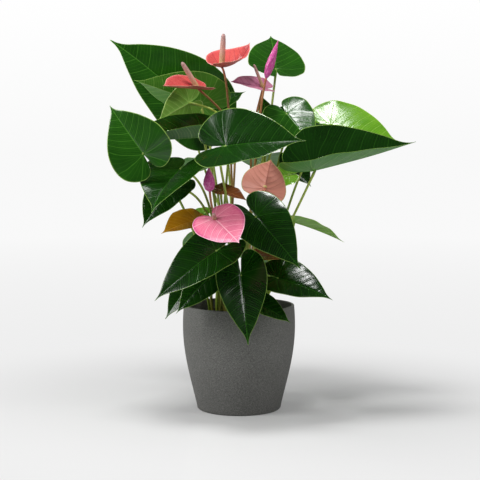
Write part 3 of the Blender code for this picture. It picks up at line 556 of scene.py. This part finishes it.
def bladePart(plan, outline, size):
    # A point is the outline's edge point times its ring's share, bent, placed and then pushed along its normal:
    # sunk at the midrib, puffed between veins, and waved towards the rim.
    shape = bladeShape
    half = halfOutline(outline, size["spans"] + 1)
    edge = np.vstack([half[::-1] * (1, -1), half[1:-1]])
    around = len(edge)
    share = np.linspace(0, 1, size["rings"] + 1)[1:] ** shape["ringPower"]
    x, y = np.vstack([[(0, 0)], (share[:, None, None] * edge).reshape(-1, 2)]).T
    shares = np.concatenate([[0], np.repeat(share, around)])
    axes = bladeAxes(plan)
    mm = np.linalg.norm(axes[0]) * 1000
    place = bent(x, y, plan) @ axes + spot(plan["top"])

    ring = np.arange(around)
    after = (ring + 1) % around
    fan = np.stack([ring * 0, 1 + ring, 1 + after], -1)
    quads = ringQuads(len(share), around)[:, [0, 3, 2, 1]]
    cross = np.cross(place[quads[:, 2]] - place[quads[:, 0]], place[quads[:, 3]] - place[quads[:, 1]])
    normal = np.zeros_like(place)
    for corner in range(4):
        np.add.at(normal, quads[:, corner], cross)
    normal[0] = axes[2]
    normal = unit(normal)

    number, gap = veinField(x, y * plan["width"], size["veins"], size["lobes"])
    fromMidrib = np.abs(y) * plan["width"] * mm
    puff = 2 * np.abs(number - np.round(number))
    puff *= np.clip(fromMidrib / shape["puffFromMm"], 0, 1) * np.clip((1 - shares) / shape["puffFade"], 0, 1)
    groove = np.exp(-(fromMidrib / shape["grooveMm"]) ** 2) * np.clip(shape["grooveEnd"] - x, 0, 1)
    phase = np.random.default_rng(plan["seed"]).uniform(0, 2 * np.pi, 4)
    angle = np.arctan2(y, x)
    ripple = sum(np.sin(turns * angle + start) * part for (turns, part), start in zip(shape["ripples"], phase))
    swell = np.sin(shape["swellTurns"][0] * x + phase[2]) * np.sin(shape["swellTurns"][1] * y + phase[3])
    lift = size["puff"] * puff - size["groove"] * groove
    lift += size["ripple"] * ripple * shares**3 + shape["swellMm"] * swell * shares
    middle = place + normal * (lift / 1000)[:, None]

    thick = size["thick"] / 2000 * (1 - shape["rimThinner"] * shares**6)[:, None]
    last, inner = (1 + (len(share) - back) * around + ring for back in (1, 2))
    outward = unit(middle[last] - middle[inner])
    rim = middle[last] + outward * size["thick"] / 1000 * shape["lip"]
    below, lip = len(place), 2 * len(place)
    lastAfter = last[after]
    rimTop = np.stack([last, lip + ring, lip + after, lastAfter], -1)
    rimLow = np.stack([below + lastAfter, lip + after, lip + ring, below + last], -1)
    side = len(fan) + len(quads) + around    # the upper skin's faces, and as many of the lower's
    flat = np.stack([x * mm, y * plan["width"] * mm, shares * 0 + plan["seed"] * shape["patternStepMm"]], -1)
    fromRim = (1 - shares) * np.concatenate([[1], np.tile(np.linalg.norm(edge, axis=1), len(share))]) * mm
    field = np.stack([number, gap * mm, fromRim], -1)
    return dict(
        points=np.vstack([middle + normal * thick, middle - normal * thick, rim]),
        faces=[fan, quads, rimTop, fan[:, ::-1] + below, quads[:, ::-1] + below, rimLow],
        numbers=np.repeat([0, 1], [side, side]),
        flat=np.vstack([flat, flat, flat[last]]),
        veins=np.vstack([field, field, field[last]]),
    )


# around is corners round a stalk; ridgeRadius, in mm, keeps the ridges one width on every stalk;
# pull is how far a stalk's end leans the way that it came, and the lowest 4 mm stand upright
stalkShape = dict(around=14, ridgeRadius=1.75, pull=0.35, upright=0.004, sunk=0.0003, rows=46)


def tubePart(path, radii, number):
    # A circle of the local radius carried along the path, square to it:
    # point = path + radius (side cos a + up sin a), with side = direction x a fixed reference.
    around = stalkShape["around"]
    ahead = unit(np.gradient(path, axis=0))
    chord = path[-1] - path[0]
    reference = unit(np.cross((0, 0, 1), chord + (1e-4, 0, 0)))
    side = unit(np.cross(ahead, np.cross(reference, ahead)))
    up = np.cross(ahead, side)
    turn = np.linspace(0, 2 * np.pi, around, endpoint=False)
    circle = side[:, None] * np.cos(turn)[:, None] + up[:, None] * np.sin(turn)[:, None]
    points, faces = closedRows(path[:, None] + circle * radii[:, None, None])
    along = distances(path)
    rows = np.stack([
        np.repeat(along * 1000, around),
        np.tile(np.abs(turn - np.pi) * stalkShape["ridgeRadius"], len(path)),
        np.repeat(along / along[-1], around),
    ], -1)
    return dict(points=points, faces=faces, numbers=number, flat=np.vstack([rows[0], rows, rows[-1]]))


def stalkEnd(plan):
    # the way the stalk runs as it meets the blade: from below, and a little along the midrib
    axes = bladeAxes(plan)
    pull = stalkShape["pull"] * unit(spot(plan["top"]) - footOf(plan))
    return unit(unit(axes[2]) + unit(axes[0]) * plan["stalk"][3] + pull)


def stalkPath(plan, end, stop):
    # a cubic Bezier above its upright foot, (1-t)^3 a + 3(1-t)^2 t b + 3(1-t) t^2 c + t^3 d
    rise, lean, hook = plan["stalk"][:3]
    foot = footOf(plan, stalkShape["sunk"])
    top = spot(plan["top"]) - end * stop
    start = foot + (0, 0, stalkShape["upright"])
    length = np.linalg.norm(top - start)
    lift = unit(np.array((0, 0, 1.0)) + (top - start) / length * lean)
    a, b, c, d = start, start + lift * length * rise, top - end * length * hook, top
    t = np.linspace(0, 1, stalkShape["rows"])[:, None]
    path = (1 - t) ** 3 * a + 3 * (1 - t) ** 2 * t * b + 3 * (1 - t) * t * t * c + t**3 * d
    return np.vstack([foot, path])


# puff, groove, ripple and thick are mm
leafSize = dict(spans=60, rings=34, veins=7, lobes=3, puff=0.28, groove=0.6, ripple=1.4, thick=0.8)
# the stalk swells at its foot and at the knee under the blade, and thins towards the top
leafStalk = dict(radius=0.0021, foot=0.45, footLength=0.02, knee=0.3, kneeBelow=0.008, kneeLength=0.006,
                 thinner=0.12, intoBlade=0.0002)
# x runs to the tip and y to the side, in blade lengths from where the stalk joins
leafOutline = [
    (1.00, 0.000), (0.93, 0.018), (0.85, 0.060), (0.72, 0.165), (0.50, 0.310), (0.25, 0.420),
    (0.00, 0.450), (-0.20, 0.400), (-0.33, 0.270), (-0.36, 0.130), (-0.25, 0.035), (-0.02, 0.000),
]


def buildLeaf(name, plan):
    # the stalk's radius = radius (1 + foot e^-(s / length)^2 + knee e^-((left - below) / length)^2)
    # times (1 - thinner share), where s is the way from its foot and left the way to the blade
    size = leafStalk
    path = stalkPath(plan, stalkEnd(plan), -size["intoBlade"])
    along = distances(path)
    left = along[-1] - along
    swell = 1 + size["foot"] * np.exp(-(along / size["footLength"]) ** 2)
    swell += size["knee"] * np.exp(-((left - size["kneeBelow"]) / size["kneeLength"]) ** 2)
    radii = size["radius"] * swell * (1 - size["thinner"] * along / along[-1])
    # leaves with no look of their own get dark, the painted-shade copy of the green leaf
    look = plan.get("look", "dark")
    parts = [bladePart(plan, leafOutline, leafSize), tubePart(path, radii, 2)]
    makePiece(name, parts, [*leafFinishes[look], leafStalkFinish])


for index, (name, plan) in enumerate(leaves.items()):
    plan["seed"] = index + 1
    buildLeaf(name, plan)
print("leaves:", len(leaves))


spatheSize = dict(spans=48, rings=30, veins=5, lobes=3, puff=0.8, groove=0.7, ripple=0.9, thick=0.9)
spatheOutline = [
    (1.00, 0.000), (0.95, 0.030), (0.88, 0.120), (0.72, 0.330), (0.45, 0.510), (0.15, 0.560),
    (-0.12, 0.500), (-0.28, 0.340), (-0.32, 0.170), (-0.20, 0.050), (-0.02, 0.000),
]
# a blush is a second colour that fades inwards from the rim over mm
spatheLooks = {
    "salmon": dict(deep="#a42c34", pale="#cc5e54", vein="#8a1c2e", rim="#e0a890",
                   under="#d07068", blush=dict(mm=6, share=0.3, colour="#e07a86")),
    "pink": dict(deep="#c04a72", pale="#dd7f94", vein="#eba6b4", rim="#f0c0ca",
                 under="#dc8a9c", blush=dict(mm=7, share=0.75, colour="#b83474")),
    "mauve": dict(deep="#97486c", pale="#c08a9c", vein="#7a2a54", rim="#d4acb4",
                  under="#96606e", blush=dict(mm=6, share=0.4, colour="#8f3c5e")),
    "aged": dict(deep="#964c44", pale="#bc7c6c", vein="#74382c", rim="#a8a660",
                 under="#ae7060", blush=dict(mm=6, share=0.5, colour="#7f7c3c")),
}
spatheFinishes = {}
for look, codes in spatheLooks.items():
    spatheFinishes[look] = (
        # living spathe, a leaf turned to petal: waxed, puckered between its veins
        bladeFinish("waxySpathe_" + look, codes["deep"], codes["pale"], codes["vein"], codes["rim"],
                    dict(rough=0.28, veins=0.75, upper=True), codes["blush"]),
        # its back, satin and paler
        bladeFinish("satinSpatheBack_" + look, codes["under"], codes["pale"], codes["vein"], codes["rim"],
                    dict(rough=0.45, veins=0.4, upper=False)),
    )

# the spike is packed with flowers 1.5 mm apart, in two families of spirals; the bud's streaks are 1.7 mm wide
spadixLook = dict(rings=110, around=44, nubMm=1.5, spirals=9, climb=90, nubRise=0.09, aboveBlade=0.0008,
                  # the last colour here is painted shade for the creases between the tiny flowers
                  below="#c4b868", middle="#cfa590", above="#ab8f8c", creviceShade="#8f4f4c",
                  gloss=(0.5, 0.75), relief=(0.6, 0.0005))
spadixShape = [(0, 0.72), (0.05, 0.95), (0.4, 1.0), (0.75, 0.9), (0.93, 0.72), (0.985, 0.42), (1, 0.12)]
budLook = dict(rings=60, around=64, inner=0.86, step=0.14, climb=2.2, start=0.6, streaks=(0.05, 0.6, 0.0),
               mottle=0.35, deep="#8f1f66", pale="#d0529c", mottleColour="#e6a3c6",
               gloss=(0.25, 0.42), relief=(0.4, 0.0004))
budShape = [(0, 0.3), (0.1, 0.75), (0.3, 1.0), (0.5, 0.9), (0.75, 0.55), (0.92, 0.24), (1, 0.05)]
flowerStalk = dict(radius=0.002, foot=0.4, footLength=0.02, thinner=0.1, belowBlade=0.0006)


def spadixFinish():
    # living flower spike: cream-green below, dusty pink above, each tiny flower raised, with painted
    # shade darkening the creases at its edge
    finish, tree, flat = newFinish("nubbedSpadix")
    share = addNode(tree, "SeparateXYZ", i0=flat).outputs[2]
    ramp = addNode(tree, "ValToRGB", Fac=share)
    stops = ramp.color_ramp.elements
    stops[0].color = linear(spadixLook["below"])
    stops[1].color = linear(spadixLook["above"])
    stops.new(0.45).color = linear(spadixLook["middle"])
    nubs = addNode(tree, "TexVoronoi", Vector=flat, Scale=1 / spadixLook["nubMm"]).outputs["Distance"]
    # painted shade: darker towards each tiny flower's edge, in the creases that the relief sinks
    creviceShade = addNode(tree, "MapRange", i0=nubs, i1=0.0, i2=0.5, i3=0.0, i4=0.35).outputs[0]
    base = addNode(tree, "Mix", colours,
                   i0=creviceShade, i6=ramp.outputs[0], i7=linear(spadixLook["creviceShade"])).outputs[2]
    return joinSkin(finish, base, nubs, spadixLook["gloss"], nubs, spadixLook["relief"],
                    span=(0.0, 0.6), invert=True)


def budFinish():
    # living spathe still rolled: magenta wax with darker lengthwise veins and a pale mottle
    finish, tree, flat = newFinish("rolledSpathe")
    long = addNode(tree, "Mapping", i0=flat, Scale=budLook["streaks"]).outputs[0]
    streaks = addNode(tree, "TexNoise", Vector=long, Scale=1.0, Detail=4.0).outputs["Fac"]
    mottle = addNode(tree, "TexNoise", Vector=flat, Scale=budLook["mottle"], Detail=3.0).outputs["Fac"]
    base = addNode(tree, "Mix", colours,
                   i0=streaks, i6=linear(budLook["deep"]), i7=linear(budLook["pale"])).outputs[2]
    pale = addNode(tree, "MapRange", i0=mottle, i1=0.5, i2=0.8, i3=0.0, i4=0.5).outputs[0]
    base = addNode(tree, "Mix", colours,
                   i0=pale, i6=base, i7=linear(budLook["mottleColour"])).outputs[2]
    return joinSkin(finish, base, mottle, budLook["gloss"], streaks, budLook["relief"])


nubbedSpadix = spadixFinish()
rolledSpathe = budFinish()


def spindlePart(base, tip, shares, radius, look, radiusAt):
    # rings about the line from base to tip, each radius times the profile's share at that height
    # times radiusAt(height, turn)
    heights, wide = np.array(shares, float).T
    bow = 0.5 - 0.5 * np.cos(np.linspace(0, np.pi, look["rings"]))
    turn = np.linspace(0, 2 * np.pi, look["around"], endpoint=False)
    ahead = unit(tip - base)
    side = unit(np.cross(ahead, (0.3, 0.2, 1.0) if abs(ahead[2]) < 0.8 else (0, 1, 0)))
    circle = side * np.cos(turn)[:, None] + np.cross(ahead, side) * np.sin(turn)[:, None]
    grown = (np.interp(bow, heights, wide) * radius)[:, None] * radiusAt(bow[:, None], turn[None])
    points, faces = closedRows(base + bow[:, None, None] * (tip - base) + circle[None] * grown[:, :, None])
    mm = np.linalg.norm(tip - base) * 1000
    rows = np.stack(np.broadcast_arrays(
        bow[:, None] * mm, np.abs(turn - np.pi)[None] * radius * 1000, bow[:, None]), -1).reshape(-1, 3)
    return dict(points=points, faces=faces, flat=np.vstack([rows[0], rows, rows[-1]]))


def buildFlowerStalk(name, plan, end, stop):
    # radius (1 + foot e^-(s / length)^2 - thinner share)
    size = flowerStalk
    path = stalkPath(plan, end, stop)
    along = distances(path)
    swell = size["foot"] * np.exp(-(along / size["footLength"]) ** 2)
    radii = size["radius"] * (1 + swell - size["thinner"] * along / along[-1])
    makePiece(name + "_stalk", [tubePart(path, radii, 0)], [flowerStalkFinish])


def nubs(height, turn):
    # crossed spirals of little flowers: 1 + rise cos(9a + 90h) cos(9a - 90h)
    across, along = spadixLook["spirals"] * turn, spadixLook["climb"] * height
    return 1 + spadixLook["nubRise"] * np.cos(across + along) * np.cos(across - along)


def roll(height, turn):
    # the roll's outer edge runs round it in a slow spiral, a small step proud of the turn beneath
    share = (turn - budLook["climb"] * height - budLook["start"]) / (2 * np.pi) % 1
    return budLook["inner"] + budLook["step"] * share


def buildFlower(name, plan):
    look = plan["look"]
    makePiece(name + "_spathe", [bladePart(plan, spatheOutline, spatheSize)], spatheFinishes[look])
    end = stalkEnd(plan)
    slant = end.dot(unit(bladeAxes(plan)[2]))
    buildFlowerStalk(name, plan, end, flowerStalk["belowBlade"] / slant)
    root, tip = spot(plan["top"]), spot(plan["spadix"])
    start = root + unit(tip - root) * spadixLook["aboveBlade"]
    part = spindlePart(start, tip, spadixShape, plan["spadixRadius"], spadixLook, nubs)
    makePiece(name + "_spadix", [part], [nubbedSpadix])


def buildBud(name, plan):
    root, tip = spot(plan["top"]), spot(plan["tip"])
    part = spindlePart(root, tip, budShape, plan["radius"], budLook, roll)
    makePiece(name + "_bud", [part], [rolledSpathe])
    end = unit(unit(tip - root) + stalkShape["pull"] * unit(root - footOf(plan)))
    buildFlowerStalk(name, plan, end, -flowerStalk["belowBlade"])


for index, (name, plan) in enumerate(flowers.items()):
    plan["seed"] = 60 + index
    buildFlower(name, plan)
for name, plan in buds.items():
    buildBud(name, plan)
print("flowers:", len(flowers), "and buds:", len(buds))


# belly is where the pot is widest, as a share of its height; hub closes each turned profile
coverPot = dict(base=0.0688, wall=0.0045, floor=0.006, edge=0.004, edgeIn=0.75, belly=0.8, swell=1.15,
                drawnIn=0.3, rim=0.0015, rimFlat=0.6, hub=0.01, around=144)
nurseryPot = dict(wall=0.0012, lip=0.004, gap=0.002, ribs=60, rib=0.0004, around=120)
# patterns to a metre: speckle 1.1 and 2.4 mm, clouds 70 mm, drawing lines 3.5 mm apart, crumbs 5 and 4 mm
potSkin = dict(fine=900.0, coarse=420.0, clouds=14.0, dark="#484846", middle="#5a5a57", pale="#747470",
               cloudColour="#b9b9b5", gloss=(0.62, 0.85), relief=(0.5, 0.0004))
nurserySkin = dict(lines=90.0, dust=60.0, black="#191a19", dustColour="#4a3d2c",
                   gloss=(0.42, 0.7), relief=(0.3, 0.0003))
soilSkin = dict(grain=190.0, pieces=240.0, dark="#1a110b", middle="#352317", pale="#6a4b31",
                gloss=(0.8, 0.98), relief=(0.9, 0.0012))
soilShape = dict(around=96, rows=40, sides=12, gap=0.0003, footGap=0.004, hillsDown=0.0035, hillsHigh=0.0011,
                 shoulder=0.006, crumbs=420, crumbDown=(-0.0035, -0.0022), crumbSize=(0.0009, 0.0021),
                 crumbUneven=(0.6, 1.25), fromEdge=0.004)


def potSide(height):
    # base + (widest - base) sin(share of the belly's height)^1.15, drawn in a little above that
    share = np.clip(height / (coverPot["belly"] * rimHeight), 0, 1 / coverPot["belly"])
    swell = np.sin(np.pi / 2 * np.minimum(share, 1)) ** coverPot["swell"]
    over = np.maximum(share - 1, 0)
    return coverPot["base"] + (potRadius - coverPot["base"]) * swell - coverPot["drawnIn"] * potRadius * over**2


def turned(profile, around):
    # a profile of radius and height turned about the upright axis, closed at both ends
    turn = np.linspace(0, 2 * np.pi, around, endpoint=False)
    grid = np.stack(np.broadcast_arrays(
        profile[:, :1] * np.cos(turn), profile[:, :1] * np.sin(turn), profile[:, 1:]), -1)
    points, faces = closedRows(grid)
    return dict(points=points, faces=faces, flat=points * 1000)


def potFinish():
    # fibre-filled plastic, moulded with a blasted skin: matt slate grey with a fine pale and dark speckle
    finish, tree, where = newFinish("speckledFibrePlastic", onFlat=False)
    fine = addNode(tree, "TexNoise",
                   Vector=where, Scale=potSkin["fine"], Detail=2.0, Roughness=0.6).outputs["Fac"]
    coarse = addNode(tree, "TexNoise", Vector=where, Scale=potSkin["coarse"], Detail=3.0).outputs["Fac"]
    cloud = addNode(tree, "TexNoise", Vector=where, Scale=potSkin["clouds"], Detail=2.0).outputs["Fac"]
    ramp = addNode(tree, "ValToRGB", Fac=fine)
    stops = ramp.color_ramp.elements
    stops[0].position, stops[0].color = 0.36, linear(potSkin["dark"])
    stops[1].position, stops[1].color = 0.66, linear(potSkin["pale"])
    stops.new(0.5).color = linear(potSkin["middle"])
    shade = addNode(tree, "MapRange", i0=cloud, i1=0.3, i2=0.7, i3=0.0, i4=0.2).outputs[0]
    base = addNode(tree, "Mix", {**colours, "blend_type": "MULTIPLY"},
                   i0=shade, i6=ramp.outputs[0], i7=linear(potSkin["cloudColour"])).outputs[2]
    relief = addNode(tree, "Math", multiplyAdd, i0=coarse, i1=0.8, i2=fine).outputs[0]
    return joinSkin(finish, base, coarse, potSkin["gloss"], relief, potSkin["relief"])


def nurseryFinish():
    # thin polypropylene, vacuum formed: dull black with faint drawing lines round it and a dusting of soil
    finish, tree, where = newFinish("formedPolypropylene", onFlat=False)
    lines = addNode(tree, "TexWave", {"bands_direction": "Z"},
                    Vector=where, Scale=nurserySkin["lines"], Distortion=1.5).outputs["Fac"]
    dust = addNode(tree, "TexNoise", Vector=where, Scale=nurserySkin["dust"], Detail=5.0).outputs["Fac"]
    amount = addNode(tree, "MapRange", i0=dust, i1=0.5, i2=0.75, i3=0.0, i4=0.6).outputs[0]
    base = addNode(tree, "Mix", colours, i0=amount,
                   i6=linear(nurserySkin["black"]), i7=linear(nurserySkin["dustColour"])).outputs[2]
    return joinSkin(finish, base, dust, nurserySkin["gloss"], lines, nurserySkin["relief"])


def soilFinish():
    # peat and bark mix: near-black brown, crumbly, with paler fibres
    finish, tree, where = newFinish("peatAndBark", onFlat=False)
    crumbs = addNode(tree, "TexNoise",
                     Vector=where, Scale=soilSkin["grain"], Detail=6.0, Roughness=0.7).outputs["Fac"]
    pieces = addNode(tree, "TexVoronoi", Vector=where, Scale=soilSkin["pieces"]).outputs["Color"]
    ramp = addNode(tree, "ValToRGB", Fac=crumbs)
    stops = ramp.color_ramp.elements
    stops[0].position, stops[0].color = 0.35, linear(soilSkin["dark"])
    stops[1].position, stops[1].color = 0.72, linear(soilSkin["pale"])
    stops.new(0.55).color = linear(soilSkin["middle"])
    base = addNode(tree, "Mix", {**colours, "blend_type": "MULTIPLY"},
                   i0=0.35, i6=ramp.outputs[0], i7=pieces).outputs[2]
    return joinSkin(finish, base, crumbs, soilSkin["gloss"], crumbs, soilSkin["relief"])


def buildCoverPot():
    # the profile runs under the foot, up the outside, over the rim, a flattened round, and down the inside
    size = coverPot
    wall, edge, rim, floor, hub = (size[key] for key in ("wall", "edge", "rim", "floor", "hub"))
    quarter = np.linspace(-np.pi / 2, 0, 7)
    inset = edge * size["edgeIn"]
    foot = np.stack([potSide(edge) - inset + inset * np.cos(quarter), edge * (1 + np.sin(quarter))], -1)
    heights = np.linspace(edge, rimHeight - rim, 60)[1:]
    outside = np.stack([potSide(heights), heights], -1)
    over = np.linspace(0, np.pi, 15)[1:-1]
    acrossRim = wall / 2 * np.sign(np.cos(over)) * np.abs(np.cos(over)) ** size["rimFlat"]
    lip = np.stack([potSide(rimHeight) - wall / 2 + acrossRim,
                    rimHeight - rim + rim * np.sin(over) ** size["rimFlat"]], -1)
    down = heights[::-1][heights[::-1] > floor + 0.004]
    inside = np.stack([potSide(down) - wall, down], -1)
    bottom = [(potSide(floor) - 2 * wall, floor), (hub, floor)]
    profile = np.vstack([[(hub, 0)], foot, outside, lip, inside, bottom])
    makePiece("cover_pot", [turned(profile, size["around"])], [potFinish()])


def buildNurseryPot():
    # a thin cone with fine ribs and a rolled lip, the inside a wall's thickness in from the outside
    size, hub = nurseryPot, coverPot["hub"]
    low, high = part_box("nursery_pot")[0].z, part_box("nursery_pot")[1].z
    wall, lip = size["wall"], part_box("nursery_pot")[1].x
    neck = lip - size["lip"] + wall
    foot = potSide(coverPot["floor"]) - 2 * coverPot["wall"] - size["gap"]
    share = np.linspace(0, 1, 30)
    ribs = size["rib"] * (np.sin(share * size["ribs"]) > 0.8)
    outer = np.stack([foot + (neck - foot) * share - ribs, low + (high - wall - low) * share], -1)
    inner = outer[::-1] + (-wall, wall)
    rolled = [(lip - wall, high - wall), (lip - wall, high - 2.5 * wall), (lip, high - 2.5 * wall),
              (lip, high - 0.3 * wall), (lip - 0.3 * wall, high)]
    profile = np.vstack([[(hub, low)], outer, rolled, inner, [(hub, low + wall)]])
    makePiece("nursery_pot", [turned(profile, size["around"])], [nurseryFinish()])


def soilBody():
    # the top is low hills, the sum of crossed sines 5 to 17 mm long; the side is a cone down to the pot's floor
    size = soilShape
    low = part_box("potting_soil")[0].z
    turn = np.linspace(0, 2 * np.pi, size["around"], endpoint=False)
    wide = soilRadius - size["gap"]
    radius = np.linspace(1, 0.02, size["rows"])[:, None] * wide
    x, y = radius * np.cos(turn), radius * np.sin(turn)
    hills = np.sin(x * 420 + 1) * np.sin(y * 380 + 2) + 0.6 * np.sin(x * 900 + y * 500)
    hills += 0.5 * np.sin(y * 1100 - x * 700)
    top = np.stack([x, y, soilHeight - size["hillsDown"] + size["hillsHigh"] * hills], -1)
    foot = potSide(coverPot["floor"]) - 2 * coverPot["wall"] - size["footGap"]
    share = np.linspace(0, 1, size["sides"])[:-1, None]
    radius = np.vstack([[[coverPot["hub"]]], foot + (wide - foot) * share])
    height = np.vstack([[[low]], low + (soilHeight - size["shoulder"] - low) * share])
    side = np.stack(np.broadcast_arrays(radius * np.cos(turn), radius * np.sin(turn), height), -1)
    points, faces = closedRows(np.concatenate([side, top]))
    return dict(points=points, faces=faces, flat=points * 1000)


def soilCrumbs():
    # crumbs spread evenly over the top, each an eight-cornered lump with its corners pushed in and out
    size = soilShape
    seed = np.random.default_rng(5)
    count = size["crumbs"]
    away = np.sqrt(seed.uniform(0, 1, count)) * (soilRadius - size["fromEdge"])
    way = seed.uniform(0, 2 * np.pi, count)
    height = seed.uniform(*size["crumbDown"], count) + soilHeight
    middle = np.stack([away * np.cos(way), away * np.sin(way), height], -1)
    corner = np.array([(a, b, c) for a in (-1, 1) for b in (-1, 1) for c in (-1, 1)]) / 1.7
    reach = seed.uniform(*size["crumbSize"], (count, 1, 3)) * seed.uniform(*size["crumbUneven"], (count, 8, 1))
    lumps = (middle[:, None] + corner[None] * reach).reshape(-1, 3)
    box = np.array([(0, 1, 3, 2), (4, 6, 7, 5), (0, 4, 5, 1), (2, 3, 7, 6), (0, 2, 6, 4), (1, 5, 7, 3)])
    faces = (box[None] + np.arange(count)[:, None, None] * 8).reshape(-1, 4)
    return dict(points=lumps, faces=[faces], flat=lumps * 1000)


buildCoverPot()
buildNurseryPot()
makePiece("potting_soil", [soilBody(), soilCrumbs()], [soilFinish()])
print("pots and soil")
